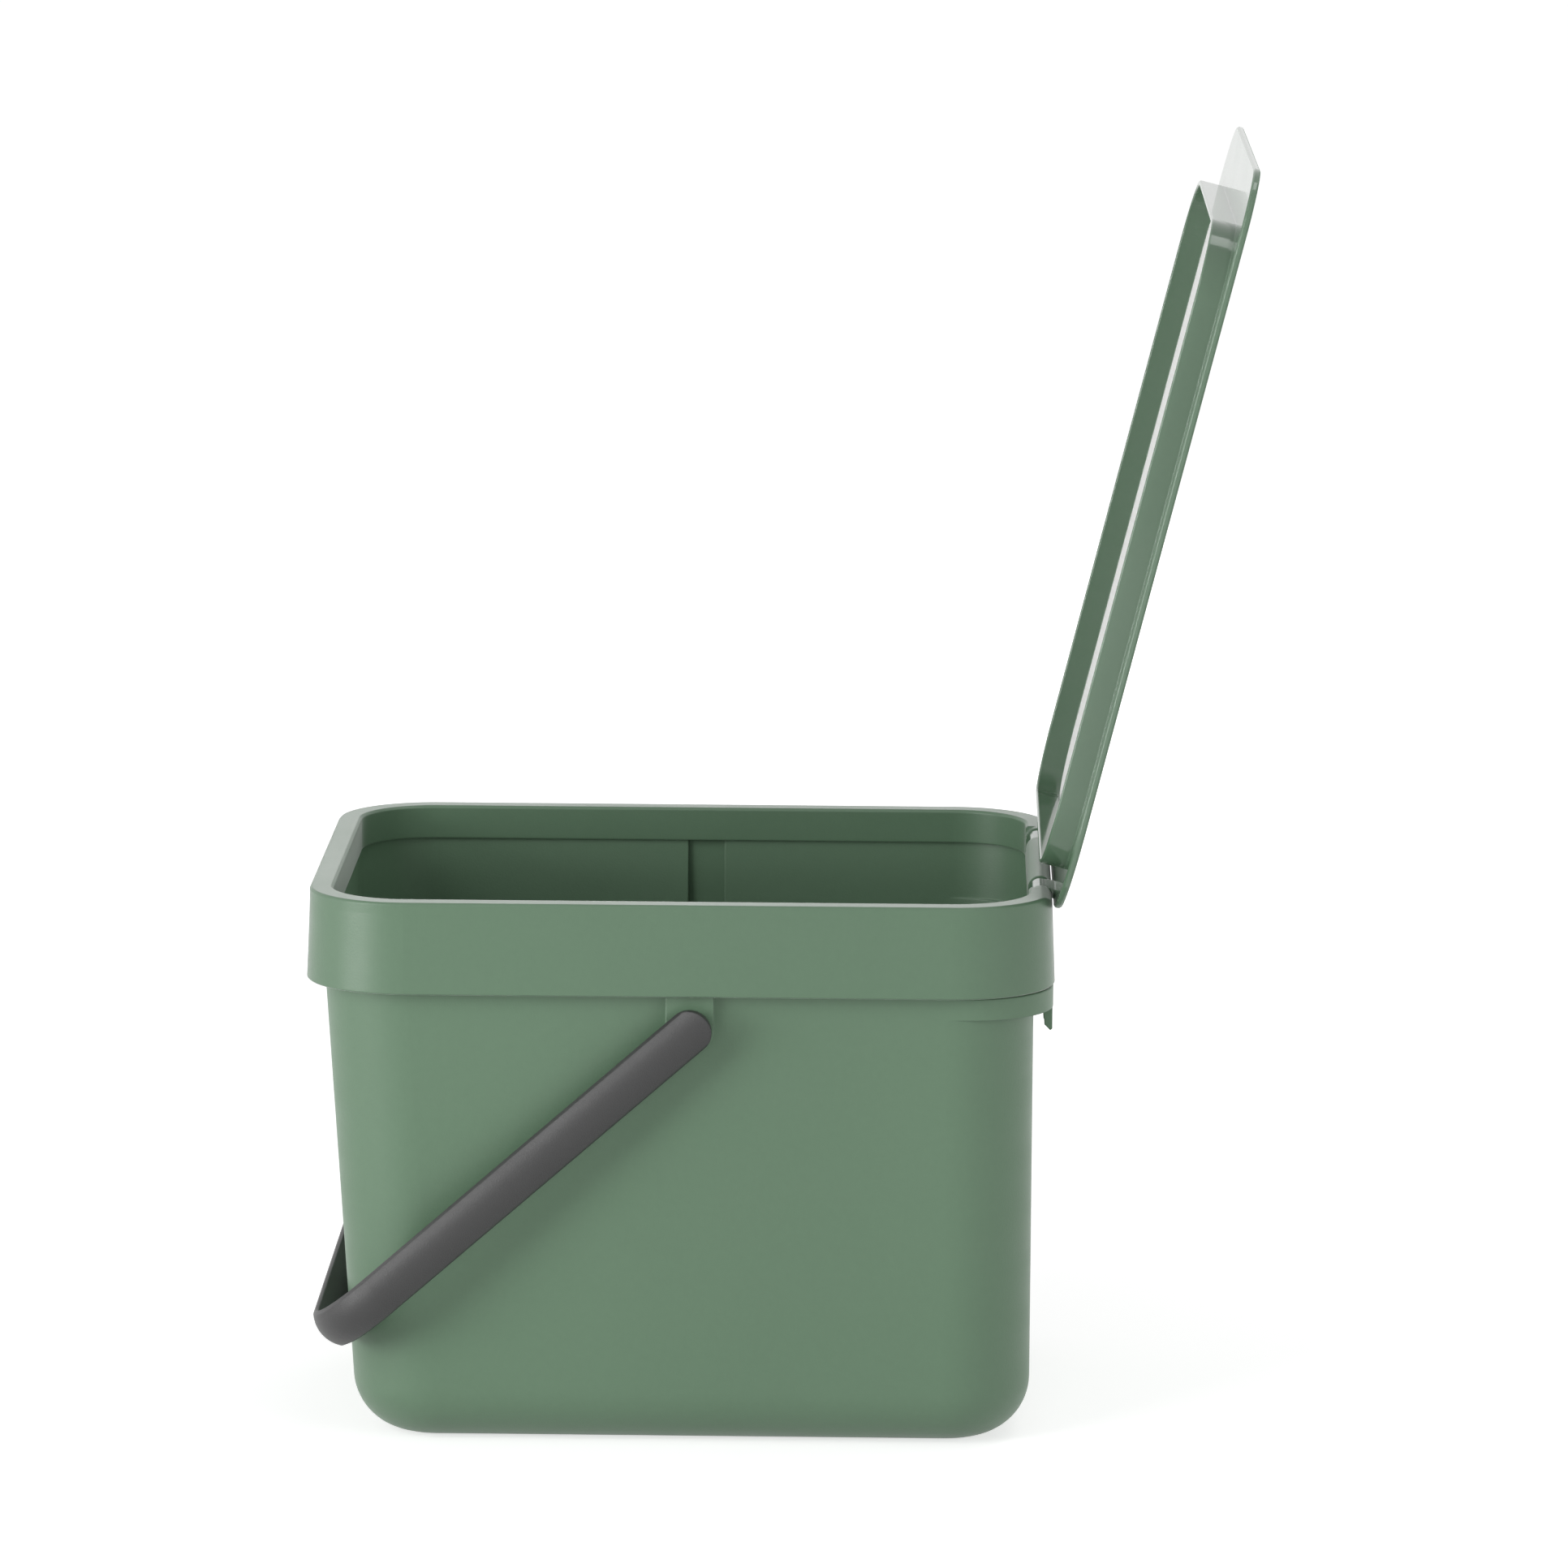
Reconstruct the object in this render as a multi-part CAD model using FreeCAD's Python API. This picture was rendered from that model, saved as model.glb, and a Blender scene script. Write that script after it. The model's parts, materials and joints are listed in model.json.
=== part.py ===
import FreeCAD, Part
import math
import os

from FreeCAD import Placement, Rotation, Vector

os.makedirs("parts", exist_ok=True)

# A kitchen caddy: a tapered bucket, a loose collar round its rim, a lid hinged on the collar's rear rail and
# a carrying handle pinned to the bucket's sides. Millimetres. +X is the bin's right, -Y its front and +Z up.
# The origin is on the floor, under the middle of the collar. The lid stands open and the handle lies against
# the front.

# Collar: outline at its top edge, flaring a little towards the bottom of its outer skirt.
collar_width = 200.0
collar_length = 250.0
collar_corner_r = 33.5
collar_top_z = 189.0
collar_skirt_h = 31.0
collar_flare_deg = 2.0
collar_wall = 2.0
rim_t = 2.0
rim_width = 8.0
rim_outer_chamfer = 0.7
rim_inner_chamfer = 0.8
collar_foot_chamfer = 0.4
inner_skirt_h = 11.6
inner_skirt_t = 1.6

# Hinge at the back of the collar: a round-topped rail with two notches, each bridged by a pin.
rail_length = 76.0
rail_end_length = 4.0
notch_width = 18.0
notch_cheek_t = 2.0
hinge_pin_r = 2.0
hinge_pin_clearance = 0.05
hinge_clip_r = 3.6
hinge_clip_mouth = 3.4
hinge_clip_side_gap = 0.4
hinge_clip_floor_gap = 0.9

# Bucket: the sides and front lean, the back is upright and steps out at a ledge below the collar.
bucket_wall = 2.0
bucket_floor = 2.4
bucket_lean_deg = 3.5
bucket_corner_r = 29.0
bucket_base_round = 20.0
bucket_rim_gap = 1.4
bucket_seat_gap = 0.1
bucket_back_setback = 2.6
ledge_t = 2.0
ledge_gap = 0.8
ledge_inset = 0.45
ledge_chamfer = 0.4
ledge_skirt_h = 7.5
ledge_skirt_t = 1.8

# Hanging tab under the ledge, with small steps on the side that faces the bucket.
tab_width = 100.0
tab_drop = 11.6
tab_t = 2.7
tab_chamfer = 1.9
tab_tip_flat = 0.5
tab_step = 0.35
tab_step_pitch = 2.15
tab_steps = 3

# Pads pressed out of the bucket's sides for the handle's pivots.
pivot_y = 4.0
pivot_z = 146.5
pad_width = 16.0
pad_skirt_gap = 0.6
pad_side_wall = 1.5
pivot_r = 4.0
pivot_clearance = 0.05
pivot_head_r = 5.0
pivot_head_t = 1.8
pivot_head_gap = 0.3
pivot_slot = 1.4
pivot_hub_r = 6.0
pivot_hub_gap = 0.3

# Handle: a strip bent to a bail, flat inside and crowned outside. The angle is below the horizontal, as the
# handle lies at rest.
handle_angle_deg = 41.2
strip_width = 15.0
strip_t = 2.4
strip_crown = 2.2
strip_chamfer = 0.7
handle_bend_r = 24.0
handle_side_gap = 0.6
handle_rest_gap = 0.4

# Lid: a plate with a skirt that drops inside the collar, and a lip to lift it by.
lid_t = 2.4
lid_edge_chamfer = 0.6
lid_side_inset = 1.0
lid_lip = 12.0
lid_lip_corner_r = 21.0
lid_rear_corner_r = 33.0
lid_gap = 0.3
lid_skirt_h = 8.4
lid_skirt_t = 1.6
lid_skirt_gap = 0.5
lid_skirt_setback = 13.5
lid_skirt_chamfer = 0.4
lid_open_deg = 104.2

# Margin by which a cutting or joining block runs past the face that it works on.
over = 1.0

# Lines and levels that several pieces share.
collar_bottom_z = collar_top_z - collar_skirt_h
collar_flare = collar_skirt_h * math.tan(math.radians(collar_flare_deg))
collar_half_w = collar_width / 2
collar_half_l = collar_length / 2
mouth_half_w = collar_half_w - rim_width
mouth_half_l = collar_half_l - rim_width
mouth_corner_r = collar_corner_r - rim_width
rail_r = rim_width / 2
hinge_y = collar_half_l - rail_r
hinge_z = collar_top_z - rail_r
notch_inner_x = rail_length / 2
notch_outer_x = notch_inner_x + notch_width
notch_floor_z = hinge_z - hinge_clip_r - hinge_clip_floor_gap
rail_end_x = notch_outer_x + rail_end_length
bucket_top_z = collar_top_z - rim_t - bucket_seat_gap
bucket_lean = math.tan(math.radians(bucket_lean_deg))
bucket_top_half_w = collar_half_w - collar_wall - bucket_rim_gap
bucket_top_half_l = collar_half_l - collar_wall - bucket_rim_gap
bucket_back_y = bucket_top_half_l - bucket_back_setback
ledge_z = collar_bottom_z - ledge_gap
ledge_back_y = collar_half_l + collar_flare - ledge_inset
ledge_skirt_z = ledge_z - ledge_skirt_h
pad_face_x = collar_half_w - collar_wall - pad_skirt_gap
pad_inner_x = pad_face_x - bucket_wall
arm_x = collar_half_w + collar_flare + handle_side_gap + strip_t / 2
strip_half = strip_width / 2
strip_flat = strip_half - strip_chamfer


def outline(half_w, front, back, z, front_r, back_r=None):
    """Closed rounded rectangle at height z, symmetrical about X = 0."""
    back_r = front_r if back_r is None else back_r
    corners = [
        (half_w - back_r, back - back_r, back_r, 0),
        (back_r - half_w, back - back_r, back_r, 90),
        (front_r - half_w, front + front_r, front_r, 180),
        (half_w - front_r, front + front_r, front_r, 270),
    ]
    arcs = []
    for x, y, r, start in corners:
        turns = [math.radians(start + step) for step in (0, 45, 90)]
        arcs.append(Part.Arc(*[Vector(x + r * math.cos(a), y + r * math.sin(a), z) for a in turns]).toShape())
    edges = []
    for arc, following in zip(arcs, arcs[1:] + arcs[:1]):
        edges.append(arc)
        edges.append(Part.makeLine(arc.Vertexes[-1].Point, following.Vertexes[0].Point))
    return Part.Wire(edges)


def loft(*wires):
    """Solid with straight walls through wires that share one layout."""
    return Part.makeLoft(list(wires), True, True)


def prism(wire, height):
    """Wire filled and raised along Z."""
    return Part.Face(wire).extrude(Vector(0, 0, height))


def box(x0, x1, y0, y1, z0, z1):
    """Block between two corners."""
    return Part.makeBox(x1 - x0, y1 - y0, z1 - z0, Vector(x0, y0, z0))


def x_cylinder(r, x0, x1, y, z):
    """Cylinder along X."""
    return Part.makeCylinder(r, x1 - x0, Vector(x0, y, z), Vector(1, 0, 0))


def mirrored(shape):
    """The same shape on the bin's other side."""
    return shape.mirror(Vector(0, 0, 0), Vector(1, 0, 0))


def both_sides(shape):
    """A shape and its mirror image, as one."""
    return shape.fuse(mirrored(shape))


def edges_at(shape, z):
    """Edges that lie wholly at height z."""
    return [e for e in shape.Edges if abs(e.BoundBox.ZMin - z) < 0.01 and abs(e.BoundBox.ZMax - z) < 0.01]


def collar_outline(offset, z):
    """The collar's outer outline at a height, moved by an offset: upright at the top, flaring below."""
    grow = offset + collar_flare * max(0, hinge_z - z) / (hinge_z - collar_bottom_z)
    half_l = collar_half_l + grow
    return outline(collar_half_w + grow, -half_l, half_l, z, collar_corner_r + grow)


def collar_block(offset, bottom, top):
    """Everything inside that outline between two heights."""
    return loft(*[collar_outline(offset, z) for z in (bottom, hinge_z, top)])


def make_collar():
    """Hollow ring with outer and inner skirts, the round-topped rear rail, its notches and pins."""
    top = collar_top_z
    block = collar_block(0, collar_bottom_z, top)
    block = block.makeChamfer(rim_outer_chamfer, edges_at(block, top))
    block = block.makeChamfer(collar_foot_chamfer, edges_at(block, collar_bottom_z))
    mouth = outline(mouth_half_w, -mouth_half_l, mouth_half_l, collar_bottom_z - over, mouth_corner_r)
    block = block.cut(prism(mouth, collar_skirt_h + 2 * over))
    rim = next(f for f in block.Faces if f.BoundBox.ZMin > top - 0.01)
    mouth_edges = [e for wire in rim.Wires if not wire.isSame(rim.OuterWire) for e in wire.Edges]
    block = block.makeChamfer(rim_inner_chamfer, mouth_edges)

    # The rear rail is rounded about the hinge line. Outside, the round runs out along the corners.
    front_y = mouth_half_l - over
    rear_y = collar_half_l + collar_flare + over
    bar = x_cylinder(rail_r, -collar_width, collar_width, hinge_y, hinge_z)
    block = block.cut(box(-collar_half_w, collar_half_w, hinge_y, rear_y, hinge_z, top + over).cut(bar))
    block = block.cut(box(-rail_end_x, rail_end_x, front_y, hinge_y, hinge_z, top + over).cut(bar))

    skirt = outline(mouth_half_w + inner_skirt_t, -mouth_half_l - inner_skirt_t, mouth_half_l + inner_skirt_t,
                    top - inner_skirt_h, mouth_corner_r + inner_skirt_t)
    hollow = collar_block(-collar_wall, collar_bottom_z - over, top - rim_t).cut(prism(skirt, inner_skirt_h))
    ring = block.cut(hollow)

    # Cheeks close the ring beside each notch and carry its pin.
    walls = box(notch_inner_x - notch_cheek_t, notch_outer_x + notch_cheek_t, front_y, rear_y,
                notch_floor_z, top)
    notch = box(notch_inner_x, notch_outer_x, front_y, rear_y, notch_floor_z, top + over)
    ring = ring.fuse(block.common(both_sides(walls))).cut(both_sides(notch))
    pin = x_cylinder(hinge_pin_r, notch_inner_x - notch_cheek_t / 2, notch_outer_x + notch_cheek_t / 2,
                     hinge_y, hinge_z)
    return ring.fuse(both_sides(pin)).removeSplitter()


def bucket_half_w(z):
    """Half width over the bucket's leaning sides at a height."""
    return bucket_top_half_w - (bucket_top_z - z) * bucket_lean


def bucket_front(z):
    """Y of the bucket's leaning front at a height."""
    return -bucket_top_half_l + (bucket_top_z - z) * bucket_lean


def bucket_block(z0, z1, back, offset=0.0):
    """Flat-walled block that leans as the bucket does, with an upright back, moved inwards by an offset."""
    rings = []
    for z in (z0, z1):
        x = bucket_half_w(z) - offset
        y0 = bucket_front(z) + offset
        y1 = back - offset
        rings.append([Vector(-x, y0, z), Vector(x, y0, z), Vector(x, y1, z), Vector(-x, y1, z)])
    lower, upper = rings
    loops = [lower[::-1], upper]
    for i in range(4):
        loops.append([lower[i - 1], lower[i], upper[i], upper[i - 1]])
    return Part.Solid(Part.Shell([Part.Face(Part.makePolygon(loop + loop[:1])) for loop in loops]))


def upright_edges(block):
    """The four edges that run from the bottom of a block to its top."""
    return [e for e in block.Edges if e.BoundBox.ZLength > block.BoundBox.ZLength / 2]


def rear_block(z0, z1, back, offset=0.0):
    """The rear half of such a block, with round corners."""
    block = bucket_block(z0, z1, back, offset)
    block = block.makeFillet(bucket_corner_r - offset, upright_edges(block))
    return block.common(box(-collar_half_w, collar_half_w, 0, collar_length, z0, z1))


def pad_block(half_w, x0, x1):
    """Upright block at the right pivot, round below, from the pivot to above the bucket's rim."""
    block = box(x0, x1, pivot_y - half_w, pivot_y + half_w, pivot_z, bucket_top_z)
    return block.fuse(x_cylinder(half_w, x0, x1, pivot_y, pivot_z))


def make_tab():
    """Hanging tab: its profile steps back towards the tip and ends in a chamfer."""
    back = ledge_back_y
    tip = ledge_skirt_z - tab_drop
    points = [(back, ledge_z - ledge_t / 2), (back, tip + tab_tip_flat), (back - tab_tip_flat, tip)]
    y = back - tab_t
    z = tip + tab_chamfer
    points.append((y + tab_chamfer, tip))
    points.append((y, z))
    for _ in range(tab_steps):
        z += tab_step_pitch
        points.append((y, z - tab_step))
        y -= tab_step
        points.append((y, z))
    points.append((y, ledge_z - ledge_t / 2))
    wire = Part.makePolygon([Vector(-tab_width / 2, py, pz) for py, pz in points + points[:1]])
    return Part.Face(wire).extrude(Vector(tab_width, 0, 0))


def make_bucket():
    """Tapered shell with a rear ledge, its skirt and tab, the pivot pads and relief for the hinge clips."""
    lower = bucket_block(0, bucket_top_z, bucket_back_y)
    lower = lower.makeFillet(bucket_corner_r, upright_edges(lower))
    lower = lower.makeFillet(bucket_base_round, edges_at(lower, 0))
    upper = rear_block(ledge_z - ledge_t, bucket_top_z, bucket_top_half_l)
    ledge = rear_block(ledge_skirt_z, ledge_z, ledge_back_y)
    ledge = ledge.makeChamfer(ledge_chamfer, [e for e in edges_at(ledge, ledge_z) if e.BoundBox.YMax > over])
    pads = both_sides(pad_block(pad_width / 2, mouth_half_w - rim_width, pad_face_x))
    body = lower.fuse(ledge).fuse(upper).fuse(pads)

    # Inside, the corners and the edges of the floor share one generous radius, easy to wipe clean.
    cavity = bucket_block(bucket_floor, bucket_top_z + over, bucket_back_y, bucket_wall)
    inner_edges = upright_edges(cavity) + edges_at(cavity, bucket_floor)
    cavity = cavity.makeFillet(bucket_corner_r - bucket_wall, inner_edges)
    body = body.cut(cavity).cut(rear_block(ledge_z, bucket_top_z + over, bucket_top_half_l, bucket_wall))
    under_ledge = rear_block(ledge_skirt_z - over, ledge_z - ledge_t, ledge_back_y, ledge_skirt_t).cut(lower)
    body = body.cut(under_ledge).fuse(make_tab())

    channel = pad_block(pad_width / 2 - pad_side_wall, mouth_half_w - rim_width, pad_inner_x)
    channel = channel.fuse(channel.translated(Vector(0, 0, over)))
    bore = x_cylinder(pivot_r + pivot_clearance, pad_inner_x - over, pad_face_x + over, pivot_y, pivot_z)
    body = body.cut(both_sides(channel)).cut(both_sides(bore))

    relief = notch_cheek_t + over
    clip_relief = box(notch_inner_x - relief, notch_outer_x + relief, bucket_back_y - bucket_wall - over,
                      collar_half_l, notch_floor_z - over, collar_top_z)
    return body.cut(both_sides(clip_relief)).removeSplitter()


def at_hinge(shape):
    """Shape drawn about the hinge line with the lid shut, moved to the hinge and swung open."""
    swing = Placement(Vector(0, hinge_y, hinge_z), Rotation(Vector(1, 0, 0), -lid_open_deg))
    placed = shape.copy()
    placed.Placement = swing
    return placed


def make_lid():
    """Lid drawn shut, about its hinge line: plate and lip, skirt, and the clips that grip the pins."""
    under = rail_r + lid_gap
    front = -collar_half_l - lid_lip - hinge_y
    half_w = collar_half_w - lid_side_inset
    plate = prism(outline(half_w, front, 0, under, lid_lip_corner_r, lid_rear_corner_r), lid_t)
    plate = plate.makeChamfer(lid_edge_chamfer, edges_at(plate, under) + edges_at(plate, under + lid_t))

    skirt_half_w = mouth_half_w - lid_skirt_gap
    skirt_front = -mouth_half_l + lid_skirt_gap - hinge_y
    skirt_r = mouth_corner_r - lid_skirt_gap
    free = under - lid_skirt_h
    skirt_back = -lid_skirt_setback
    skirt = prism(outline(skirt_half_w, skirt_front, skirt_back, free, skirt_r), lid_skirt_h + lid_t / 2)
    inside = outline(skirt_half_w - lid_skirt_t, skirt_front + lid_skirt_t, skirt_back - lid_skirt_t,
                     free - over, skirt_r - lid_skirt_t)
    skirt = skirt.cut(prism(inside, lid_skirt_h + lid_t + over))
    skirt = skirt.makeChamfer(lid_skirt_chamfer, edges_at(skirt, free))

    x0 = notch_inner_x + hinge_clip_side_gap
    x1 = notch_outer_x - hinge_clip_side_gap
    clip = x_cylinder(hinge_clip_r, x0, x1, 0, 0)
    clip = clip.fuse(box(x0, x1, -hinge_clip_r, -lid_edge_chamfer, 0, under + lid_t / 2))
    clip = clip.cut(x_cylinder(hinge_pin_r + hinge_pin_clearance, x0 - over, x1 + over, 0, 0))
    mouth = hinge_clip_mouth / 2
    clip = clip.cut(box(x0 - over, x1 + over, -mouth, mouth, -hinge_clip_r - over, 0))
    return at_hinge(plate.fuse(skirt).fuse(both_sides(clip)).removeSplitter())


def strip_profile(y):
    """Closed section of the right arm's strip: flat inside, crowned outside, its edges broken."""
    inner_x = arm_x - strip_t / 2
    outer_x = arm_x + strip_t / 2
    side = [(inner_x, strip_flat), (inner_x + strip_chamfer, strip_half), (outer_x, strip_flat)]
    upper = [Vector(x, y, z) for x, z in side]
    lower = [Vector(x, y, -z) for x, z in side]
    crown = Part.Arc(upper[-1], Vector(outer_x + strip_crown, y, 0), lower[-1]).toShape()
    loop = lower[::-1] + upper
    return Part.Wire([Part.makeLine(a, b) for a, b in zip(loop, loop[1:])] + [crown])


def handle_reach():
    """Distance from the pivot to the grip at which its lower inner edge just clears the bucket's front."""
    down = math.radians(handle_angle_deg)
    gap = handle_rest_gap / math.cos(math.radians(bucket_lean_deg))
    reaches = []
    for across, inward in ((strip_flat, strip_t / 2), (strip_half, strip_t / 2 - strip_chamfer)):
        y = pivot_y + across * math.sin(down)
        z = pivot_z - across * math.cos(down)
        reaches.append((y - bucket_front(z) + gap) / (math.cos(down) + bucket_lean * math.sin(down)) + inward)
    return max(reaches)


def make_handle():
    """Bail drawn flat, reaching along -Y from the pivots, then swung down against the front of the bucket."""
    reach = handle_reach()
    half = strip_half
    bend_x = arm_x - handle_bend_r
    bend_y = handle_bend_r - reach
    slant = handle_bend_r * math.sqrt(0.5)
    right_bend = Part.Arc(Vector(arm_x, bend_y, 0), Vector(bend_x + slant, bend_y - slant, 0),
                          Vector(bend_x, -reach, 0)).toShape()
    left_bend = Part.Arc(Vector(-bend_x, -reach, 0), Vector(-bend_x - slant, bend_y - slant, 0),
                         Vector(-arm_x, bend_y, 0)).toShape()
    path = Part.Wire([
        Part.makeLine(Vector(arm_x, half, 0), Vector(arm_x, bend_y, 0)),
        right_bend,
        Part.makeLine(Vector(bend_x, -reach, 0), Vector(-bend_x, -reach, 0)),
        left_bend,
        Part.makeLine(Vector(-arm_x, bend_y, 0), Vector(-arm_x, half, 0)),
    ])
    bail = path.makePipeShell([strip_profile(half)], True, False)

    past = strip_crown + strip_t + over
    end_cut = box(arm_x - past, arm_x + past, 0, half + over, -half - over, half + over)
    end_cut = end_cut.cut(x_cylinder(half, arm_x - past, arm_x + past, 0, 0))
    bail = bail.cut(both_sides(end_cut))
    hub = x_cylinder(pivot_hub_r, pad_face_x + pivot_hub_gap, arm_x, 0, 0)
    head_x = pad_inner_x - pivot_head_gap
    stud = x_cylinder(pivot_r, head_x - pivot_head_t, pad_face_x + pivot_hub_gap + over, 0, 0)
    stud = stud.fuse(x_cylinder(pivot_head_r, head_x - pivot_head_t, head_x, 0, 0))
    stud = stud.cut(box(head_x - pivot_head_t - over, pad_face_x, -pivot_head_r, pivot_head_r,
                        -pivot_slot / 2, pivot_slot / 2))
    bail = bail.fuse(both_sides(hub)).fuse(both_sides(stud)).removeSplitter()
    bail.Placement = Placement(Vector(0, pivot_y, pivot_z), Rotation(Vector(1, 0, 0), handle_angle_deg))
    return bail


pieces = {
    "bucket": make_bucket(),
    "rim_collar": make_collar(),
    "lid": make_lid(),
    "handle": make_handle(),
}
for node, shape in pieces.items():
    solids = shape.Solids
    litres = shape.Volume / 1e6
    print(node, "solids", len(solids), "valid", shape.isValid(), "litres", round(litres, 4))
    solids[0].exportStep("parts/" + node + ".step")
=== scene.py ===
import json
import math

import bpy
from mathutils import Matrix, Vector

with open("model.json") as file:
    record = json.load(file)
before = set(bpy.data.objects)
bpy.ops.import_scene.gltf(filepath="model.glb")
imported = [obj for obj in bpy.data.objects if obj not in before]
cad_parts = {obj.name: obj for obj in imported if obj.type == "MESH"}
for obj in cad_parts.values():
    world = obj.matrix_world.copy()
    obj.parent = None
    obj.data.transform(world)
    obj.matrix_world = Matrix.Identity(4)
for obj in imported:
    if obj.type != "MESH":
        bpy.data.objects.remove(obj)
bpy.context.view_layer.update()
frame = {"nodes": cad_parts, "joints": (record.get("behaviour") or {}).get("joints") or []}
nodes = frame["nodes"]

# Camera of the photograph, in metres and degrees. It looks at the bin's +x side from a little above
# the rim.
image_px = 1932
focal_px = 10150.4
sensor_mm = 36.0
camera_aim = Vector((0.0, 0.033165, 0.213428))
camera_distance = 2.833342
camera_yaw = 1.111
camera_pitch = 9.604
camera_roll = 0.326

# Colours are linear. They are the plastics' own colours before any gloss, but the worn ones also hold a
# painted edge highlight.
green = (0.114, 0.193, 0.122)
upper_green = (0.108, 0.184, 0.116)
green_wear_and_edge_highlight = (0.190, 0.285, 0.203)
grey = (0.040, 0.040, 0.0403)
grey_wear_and_edge_highlight = (0.080, 0.080, 0.081)
white = (1.0, 1.0, 1.0)

# What the plastics share. An edge is softened over its radius in metres. Its worn colour, partly wear and
# partly a painted highlight, begins at the first cosine between its soft and its true normal, and is full
# at the second.
edge_radius = 0.0007
edge_samples = 6
edge_cosines = (0.995, 0.85)
plastic_ior = 1.49
sheen_roughness = 0.25

# Noise patterns in the plastics: features per metre, detail, the part of the noise's range that is
# used, and the stretch of its coordinates.
rub_and_highlight_noise = {"scale": 55.0, "detail": 4.0, "used": (0.35, 0.75)}
flow_noise = {"scale": 7.0, "detail": 3.0, "used": (0.3, 0.7), "stretch": (1.0, 1.0, 0.45)}
mottle_noise = {"scale": 420.0, "detail": 3.0, "used": (0.3, 0.7)}
handled_noise = {"scale": 26.0, "detail": 5.0, "used": (0.25, 0.75), "stretch": (1.0, 1.0, 3.0)}
grain_detail = 3.0

# What the patterns give: how far an edge is rubbed and given its painted highlight, and how much lighter
# or darker the pigment is.
rub_and_highlight_share = (0.15, 0.60)
flow_tone = (0.955, 1.045)
mottle_tone = (0.985, 1.015)

# The lid's inner panel at rest, in metres. It leans back by what the hinge opens past a right angle.
# It runs from the hinge to the lip, and its middle is measured that way from the origin.
right_angle = 90.0
lid_hinge = next(joint for joint in frame["joints"] if joint["name"] == "lid_hinge")
lid_lean = math.radians(max(lid_hinge["range_deg"]) - right_angle)
panel_faces = (0.0, -math.cos(lid_lean), math.sin(lid_lean))
panel_runs = (0.0, math.sin(lid_lean), math.cos(lid_lean))
panel_middle = 0.3345
panel_half_length = 0.1104
panel_half_width = 0.0899
panel_corner_r = 0.0234

# A face can belong to the panel above the first cosine with panel_faces, and belongs to the lid's top
# below the second.
panel_cosine = 0.95
top_cosine = -0.5

# The panel takes a painted sheen, pale like a reflection of the white surroundings, between these
# values of Layer Weight's Facing. The lid's top is rougher than its other faces by matt_extra.
painted_sheen_colour = (0.88, 0.88, 0.87)
painted_sheen_facing = (0.84, 0.94)
matt_extra = 0.38

# Studio: how strongly the white surroundings light the bin, and the floor. The floor glows in what
# the camera and reflections see, from near to far over a reach in metres, so that it is as white as
# the background.
ambient = 0.33
floor_size = 30.0
floor_drop = 0.0001
floor_colour = (0.70, 0.70, 0.70)
floor_glow_near = 0.63
floor_glow_far = 0.784
floor_glow_reach = (0.2, 1.3)

# Soft boxes as (name, place, aim, width, height, watts), and those that are hidden from reflections.
soft_boxes = [
    ("key", (1.10, -1.75, 0.40), (0.0, -0.02, 0.14), 1.0, 0.75, 21.5),
    ("highlight", (1.40, -1.38, 1.22), (0.0, -0.02, 0.16), 0.9, 0.9, 11.5),
    ("front", (2.40, -0.10, 0.42), (0.0, 0.00, 0.20), 1.2, 0.22, 5.4),
    ("right", (1.30, 1.70, 0.60), (0.0, 0.05, 0.14), 0.9, 1.0, 11.8),
    ("back", (-2.00, 0.60, 0.90), (0.0, 0.00, 0.12), 1.2, 1.0, 9.0),
    ("top", (-0.15, 0.68, 1.90), (0.09, 0.20, 0.42), 0.5, 0.8, 3.2),
]
hidden_boxes = ("front", "right", "back")

# The Mix node's colour sockets by number, because its other sockets have the same names.
mix_colour_a = 6
mix_colour_b = 7
mix_colour_result = 2


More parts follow.
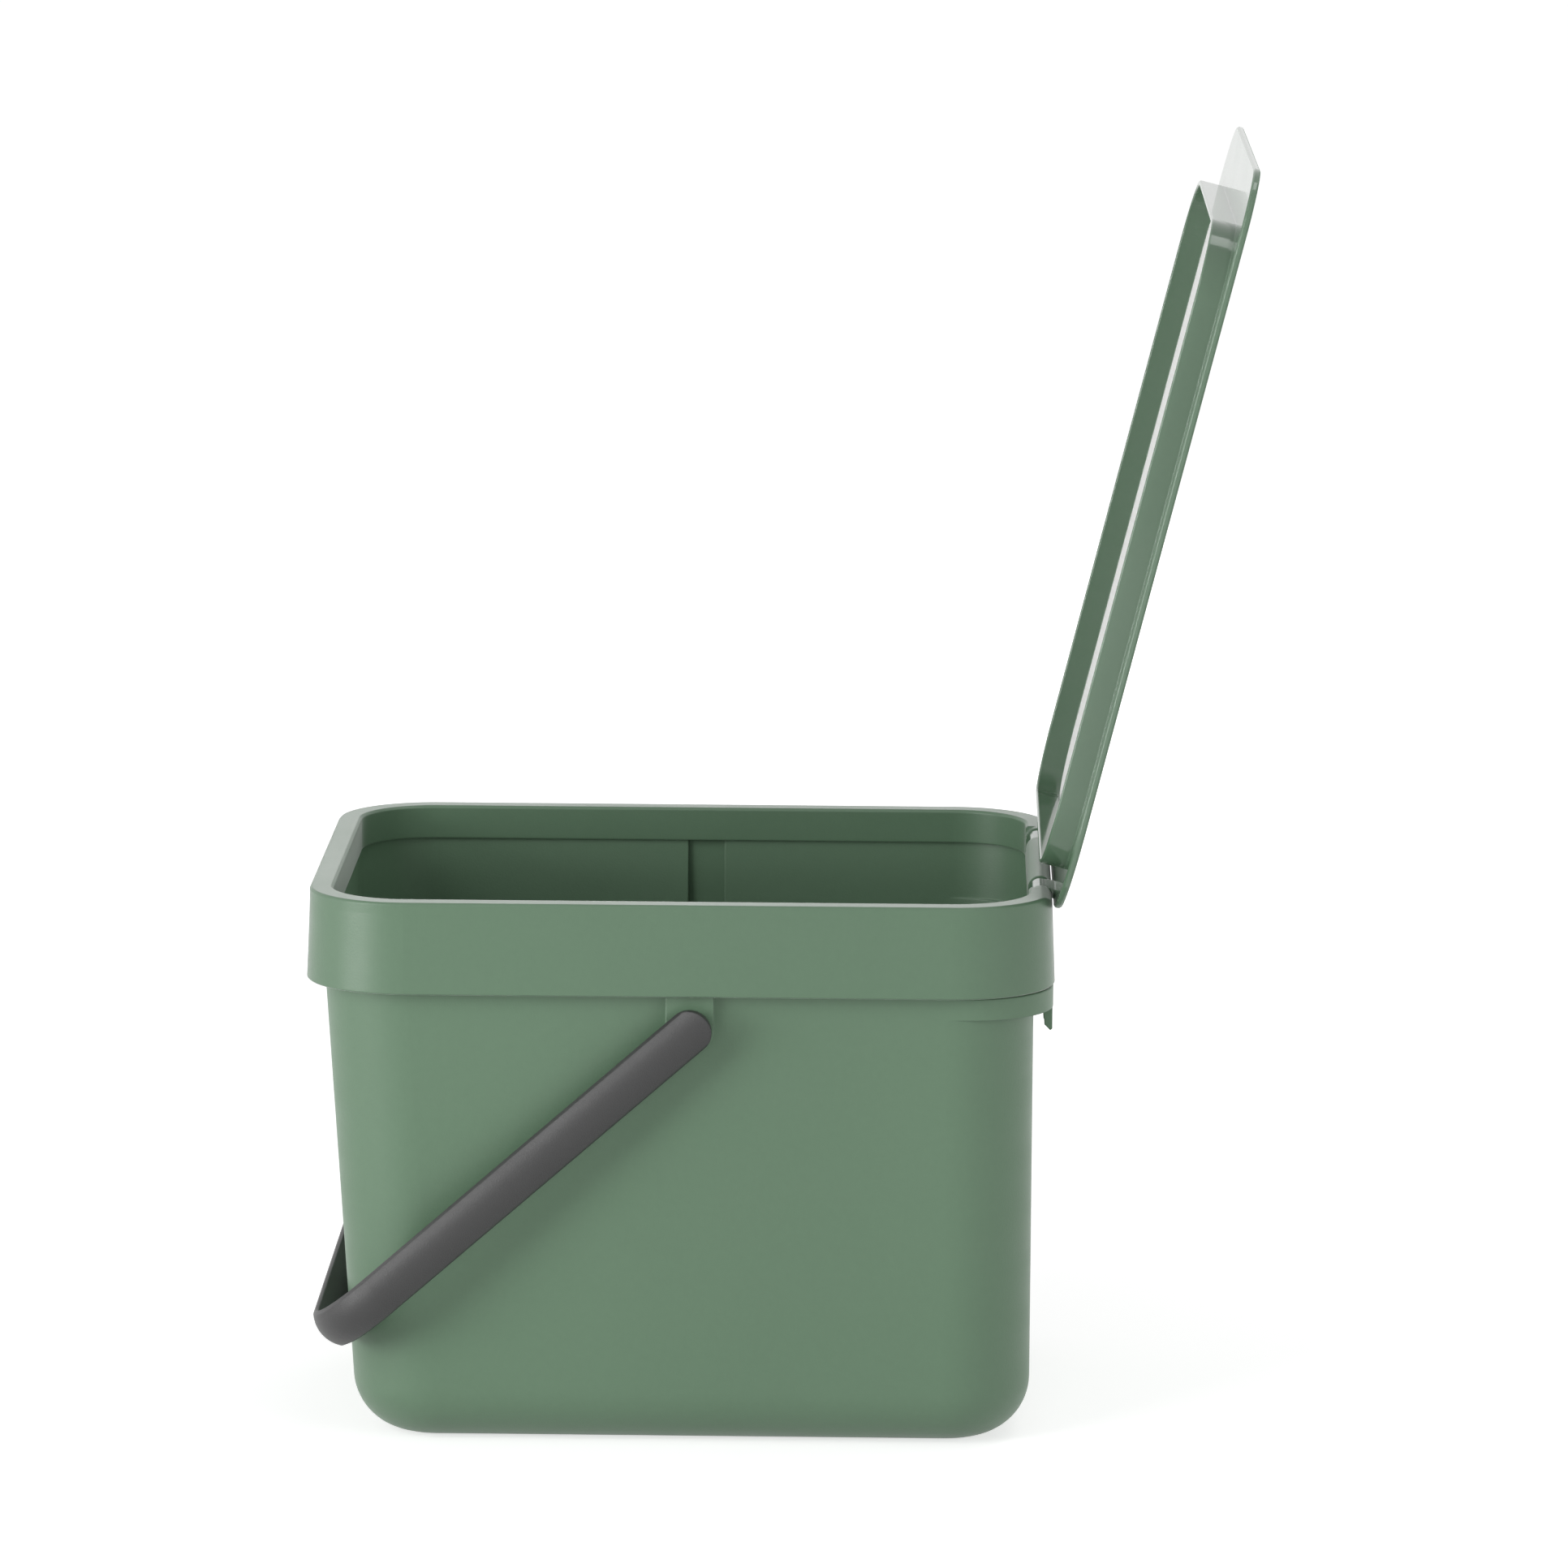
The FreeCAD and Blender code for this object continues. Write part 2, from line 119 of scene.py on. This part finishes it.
class Shader:
    """A material's node tree, with short calls to add and link nodes."""

    def __init__(self, tree):
        self.tree = tree
        tree.nodes.clear()

    def add(self, kind, settings=None, **inputs):
        """New node; inputs are values or other nodes' sockets, by the socket's name with _ for spaces."""
        node = self.tree.nodes.new(kind)
        for key, value in (settings or {}).items():
            setattr(node, key, value)
        for key, value in inputs.items():
            self.put(node.inputs[key.replace("_", " ")], value)
        return node

    def put(self, socket, value):
        """Sets a socket to a value, or links another socket to it."""
        if isinstance(value, bpy.types.NodeSocket):
            self.tree.links.new(value, socket)
        elif hasattr(value, "__len__") and len(value) == 3 and len(socket.default_value) == 4:
            socket.default_value = (*value, 1.0)
        else:
            socket.default_value = value

    def math(self, operation, a, b=0.0):
        """Result of one arithmetic step."""
        node = self.add("ShaderNodeMath", {"operation": operation})
        self.put(node.inputs[0], a)
        self.put(node.inputs[1], b)
        return node.outputs[0]

    def dot(self, a, b):
        """Dot product of two vectors."""
        node = self.add("ShaderNodeVectorMath", {"operation": "DOT_PRODUCT"})
        self.put(node.inputs[0], a)
        self.put(node.inputs[1], b)
        return node.outputs["Value"]

    def noise(self, place, scale, detail, stretch=None):
        """Noise value from 0 to 1 at a number of features per metre."""
        if stretch:
            place = self.add("ShaderNodeMapping", Vector=place, Scale=stretch).outputs["Vector"]
        return self.add("ShaderNodeTexNoise", Vector=place, Scale=scale, Detail=detail).outputs["Fac"]

    def span(self, value, low, high, to_low, to_high):
        """Value moved from one range to another and held inside it."""
        ends = {"From_Min": low, "From_Max": high, "To_Min": to_low, "To_Max": to_high}
        return self.add("ShaderNodeMapRange", Value=value, **ends).outputs["Result"]

    def pattern(self, place, noise, low, high):
        """One of the noise patterns, spread from low to high."""
        value = self.noise(place, noise["scale"], noise["detail"], noise.get("stretch"))
        return self.span(value, *noise["used"], low, high)

    def blend(self, share, a, b, mode="MIX"):
        """Colour between a and b."""
        node = self.add("ShaderNodeMix", {"data_type": "RGBA", "blend_type": mode}, Factor=share)
        self.put(node.inputs[mix_colour_a], a)
        self.put(node.inputs[mix_colour_b], b)
        return node.outputs[mix_colour_result]

    def mix(self, share, first, second):
        """Shader between two shaders."""
        node = self.add("ShaderNodeMixShader", Fac=share)
        self.put(node.inputs[1], first)
        self.put(node.inputs[2], second)
        return node.outputs["Shader"]

    def show(self, kind, surface):
        """Ends the tree in an output node of a kind that shows the surface."""
        output = self.add(kind)
        self.put(output.inputs["Surface"], surface)


def panel_painted_sheen(shader, coordinates):
    """Share of painted sheen: 1 where the lid's inner panel is seen at a low angle, otherwise 0."""
    along = shader.math("SUBTRACT", shader.dot(coordinates["Object"], panel_runs), panel_middle)
    across = shader.add("ShaderNodeSeparateXYZ", Vector=coordinates["Object"]).outputs["X"]
    past = []
    for place, half in ((along, panel_half_length), (across, panel_half_width)):
        beyond = shader.math("SUBTRACT", shader.math("ABSOLUTE", place), half - panel_corner_r)
        past.append(shader.math("POWER", shader.math("MAXIMUM", beyond, 0.0), 2.0))
    inside = shader.math("LESS_THAN", shader.math("ADD", *past), panel_corner_r ** 2)
    under = shader.math("GREATER_THAN", shader.dot(coordinates["Normal"], panel_faces), panel_cosine)
    low_angle = shader.add("ShaderNodeLayerWeight").outputs["Facing"]
    share = shader.span(low_angle, *painted_sheen_facing, 0.0, 1.0)
    return shader.math("MULTIPLY", shader.math("MULTIPLY", inside, under), share)


def lid_top(shader, coordinates):
    """1 on the lid's outer face, otherwise 0."""
    return shader.math("LESS_THAN", shader.dot(coordinates["Normal"], panel_faces), top_cosine)


def pigment_with_wear_and_edge_highlight(shader, place, soft_normal, colour, wear_and_highlight_colour):
    """Pigment that varies a little, with slightly rubbed edges that also carry a painted highlight."""
    true_normal = shader.add("ShaderNodeNewGeometry").outputs["Normal"]
    edge = shader.span(shader.dot(soft_normal, true_normal), *edge_cosines, 0.0, 1.0)
    # Painted edge highlight: rounded edges blend toward the lighter worn colour, partly wear and partly
    # light caught on the edge.
    wear_and_highlight = shader.math("MULTIPLY", edge, shader.pattern(place, rub_and_highlight_noise, *rub_and_highlight_share))
    flow = shader.pattern(place, flow_noise, *flow_tone)
    mottle = shader.pattern(place, mottle_noise, *mottle_tone)
    tone = shader.math("MULTIPLY", flow, mottle)
    tint = shader.add("ShaderNodeCombineColor", Red=tone, Green=tone, Blue=tone).outputs["Color"]
    pigment = shader.blend(1.0, colour, tint, "MULTIPLY")
    return shader.blend(wear_and_highlight, pigment, wear_and_highlight_colour)


def moulded_plastic(name, colour, wear_and_highlight_colour, roughness, grain_scale, grain_depth,
                    swing=0.045, sheen=0.0, coat=0.0, painted_sheen_where=None, matt_where=None):
    """Injection-moulded plastic with a fine grain and soft edges, whose roughness swings either way."""
    material = bpy.data.materials.new(name)
    material.use_nodes = True
    shader = Shader(material.node_tree)
    coordinates = shader.add("ShaderNodeTexCoord").outputs
    place = coordinates["Object"]
    bevel = shader.add("ShaderNodeBevel", {"samples": edge_samples}, Radius=edge_radius)
    soft_normal = bevel.outputs["Normal"]

    gloss = shader.pattern(place, handled_noise, roughness - swing, roughness + swing)
    if matt_where:
        outside = matt_where(shader, coordinates)
        gloss = shader.math("ADD", gloss, shader.span(outside, 0.0, 1.0, 0.0, matt_extra))
        coat = shader.span(outside, 0.0, 1.0, coat, 0.0)
    grain = shader.noise(place, grain_scale, grain_detail)
    bump = shader.add(
        "ShaderNodeBump", Strength=1.0, Distance=grain_depth, Height=grain, Normal=soft_normal)

    bsdf = shader.add(
        "ShaderNodeBsdfPrincipled",
        Base_Color=pigment_with_wear_and_edge_highlight(shader, place, soft_normal, colour, wear_and_highlight_colour),
        Roughness=gloss,
        IOR=plastic_ior,
        Normal=bump.outputs["Normal"],
        Sheen_Weight=sheen,
        Sheen_Roughness=sheen_roughness,
        Coat_Weight=coat,
    )
    surface = bsdf.outputs["BSDF"]
    if painted_sheen_where:
        # Painted sheen: a pale diffuse colour mixed in, standing in for a reflection at low angles.
        painted_sheen_shader = shader.add("ShaderNodeBsdfDiffuse", Color=painted_sheen_colour).outputs["BSDF"]
        surface = shader.mix(painted_sheen_where(shader, coordinates), surface, painted_sheen_shader)
    shader.show("ShaderNodeOutputMaterial", surface)
    return material


def dress(node, material):
    """Gives a CAD node its material in every slot."""
    slots = nodes[node].data.materials
    slots.clear()
    slots.append(material)


def seen_directly(shader):
    """1 where a ray comes straight from the camera, a reflection or a clear material, otherwise 0."""
    path = shader.add("ShaderNodeLightPath").outputs
    shown = shader.math("MAXIMUM", path["Is Camera Ray"], path["Is Glossy Ray"])
    return shader.math("MAXIMUM", shown, path["Is Transmission Ray"])


def make_world():
    """White surroundings, dimmer as light than as a background."""
    world = bpy.data.worlds.new("studio")
    world.use_nodes = True
    bpy.context.scene.world = world
    shader = Shader(world.node_tree)
    strength = shader.span(seen_directly(shader), 0.0, 1.0, ambient, 1.0)
    background = shader.add("ShaderNodeBackground", Color=white, Strength=strength)
    shader.show("ShaderNodeOutputWorld", background.outputs["Background"])


def make_floor():
    """Wide white floor that keeps the bin's soft shadow."""
    bpy.ops.mesh.primitive_plane_add(size=floor_size, location=(0, 0, -floor_drop))
    floor = bpy.context.object
    floor.name = "floor"
    material = bpy.data.materials.new("floor_white")
    material.use_nodes = True
    shader = Shader(material.node_tree)
    place = shader.add("ShaderNodeTexCoord").outputs["Object"]
    away = shader.add("ShaderNodeVectorMath", {"operation": "LENGTH"}, Vector=place).outputs["Value"]
    level = shader.span(away, *floor_glow_reach, floor_glow_near, floor_glow_far)
    glow_strength = shader.math("MULTIPLY", seen_directly(shader), level)
    glow = shader.add("ShaderNodeEmission", Color=white, Strength=glow_strength)
    paint = shader.add("ShaderNodeBsdfDiffuse", Color=floor_colour)
    both = shader.add("ShaderNodeAddShader")
    shader.put(both.inputs[0], paint.outputs["BSDF"])
    shader.put(both.inputs[1], glow.outputs["Emission"])
    shader.show("ShaderNodeOutputMaterial", both.outputs["Shader"])
    floor.data.materials.append(material)


def make_lights():
    """Large soft boxes round the bin."""
    for name, place, aim, width, height, watts in soft_boxes:
        lamp = bpy.data.lights.new(name, "AREA")
        lamp.shape = "RECTANGLE"
        lamp.size = width
        lamp.size_y = height
        lamp.energy = watts
        light = bpy.data.objects.new(name, lamp)
        light.location = place
        light.rotation_euler = (Vector(aim) - Vector(place)).to_track_quat("-Z", "Y").to_euler()
        light.visible_glossy = name not in hidden_boxes
        bpy.context.scene.collection.objects.link(light)


def make_camera():
    """Camera at the photograph's place, with its long lens and slight roll."""
    yaw, pitch, roll = (math.radians(angle) for angle in (camera_yaw, camera_pitch, camera_roll))
    back = Vector((math.cos(yaw) * math.cos(pitch), math.sin(yaw) * math.cos(pitch), math.sin(pitch)))
    level_right = Vector((-math.sin(yaw), math.cos(yaw), 0.0))
    level_up = back.cross(level_right)
    right = level_right * math.cos(roll) + level_up * math.sin(roll)
    up = level_up * math.cos(roll) - level_right * math.sin(roll)
    data = bpy.data.cameras.new("photo_camera")
    data.sensor_width = sensor_mm
    data.lens = focal_px / image_px * sensor_mm
    camera = bpy.data.objects.new("photo_camera", data)
    turn = Matrix((right, up, back)).transposed().to_4x4()
    camera.matrix_world = Matrix.Translation(camera_aim + back * camera_distance) @ turn
    bpy.context.scene.collection.objects.link(camera)
    bpy.context.scene.camera = camera


# Materials. The lid is glossy inside, has a painted sheen on its panel at low angles, and is satin on its
# top.
dress("bucket", moulded_plastic(
    "bucket_plastic", green, green_wear_and_edge_highlight,
    roughness=0.42, grain_scale=1500.0, grain_depth=0.00005))
dress("rim_collar", moulded_plastic(
    "collar_plastic", upper_green, green_wear_and_edge_highlight,
    roughness=0.38, grain_scale=1500.0, grain_depth=0.00004, sheen=0.7))
dress("lid", moulded_plastic(
    "lid_plastic", upper_green, green_wear_and_edge_highlight,
    roughness=0.12, grain_scale=1200.0, grain_depth=0.000002,
    swing=0.015, coat=0.38, painted_sheen_where=panel_painted_sheen, matt_where=lid_top))
dress("handle", moulded_plastic(
    "handle_plastic", grey, grey_wear_and_edge_highlight,
    roughness=0.46, grain_scale=2200.0, grain_depth=0.00011))

# Studio.
make_world()
make_floor()
make_lights()
make_camera()
bpy.context.scene.view_settings.view_transform = "Standard"
